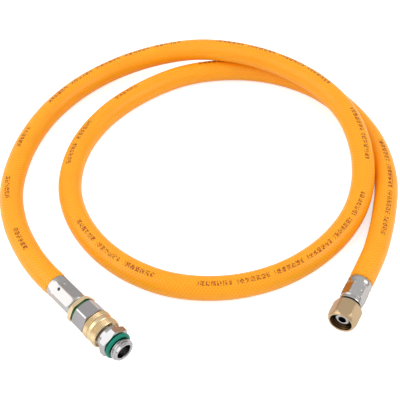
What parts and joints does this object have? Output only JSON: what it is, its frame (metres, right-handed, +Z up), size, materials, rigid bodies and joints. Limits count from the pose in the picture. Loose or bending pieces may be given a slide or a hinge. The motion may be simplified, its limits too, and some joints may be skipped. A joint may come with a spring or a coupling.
{
  "type": "pressure washer hose",
  "caption": "Loosely looped amber braided pressure hose with a crimped swivel plug with knurled sleeve and O-ring on one end and a crimped swivel nut with cone seal on the other.",
  "frame": {"origin": "on the floor, under the middle of the box round the two end fittings", "axes": "+Z up from the floor; the swivel nut points along -Y; the hose goes out towards -X and lies behind the fittings, towards +Y"},
  "size_m": [0.2641, 0.273, 0.0309],
  "materials": {
    "amber_hose": "smooth translucent hose with a fine braid showing through",
    "nickel_plate": "bright nickel plate",
    "bare_brass": "machined brass, satin",
    "grey_steel": "drawn faces, satin",
    "spring_steel": "bright spring steel",
    "bronze_washer": "turned bronze",
    "teal_rubber": "smooth moulded rubber",
    "green_rubber": "smooth moulded rubber",
    "black_rubber": "smooth moulded rubber",
    "white_plastic": "waxy white plastic"
  },
  "bodies": {
    "hose_line": {"hose": "amber_hose", "plug_ferrule": "nickel_plate", "barbed_adaptor": "bare_brass", "adaptor_gasket": "green_rubber", "swivel_body": "grey_steel", "knurled_sleeve": "bare_brass", "thrust_washer": "bronze_washer", "nut_ferrule": "nickel_plate", "nut_nipple": "nickel_plate", "nipple_o_ring": "green_rubber"},
    "plug": {"swivel_plug": "nickel_plate", "snap_ring": "spring_steel", "shaft_seal_ring": "black_rubber", "back_up_ring": "white_plastic", "plug_o_ring": "teal_rubber"},
    "nut": {"swivel_nut": "bare_brass"}
  },
  "joints": [
    {"name": "plug_swivel", "type": "hinge", "parent": "hose_line", "child": "plug", "pos_m": [-0.02409, -0.05009, 0.01001], "axis": [0.936, -0.352, 0], "continuous": true},
    {"name": "nut_spin", "type": "hinge", "parent": "hose_line", "child": "nut", "pos_m": [0.0766, 0.0247, 0.0085], "axis": [0, -1, 0], "continuous": true}
  ]
}
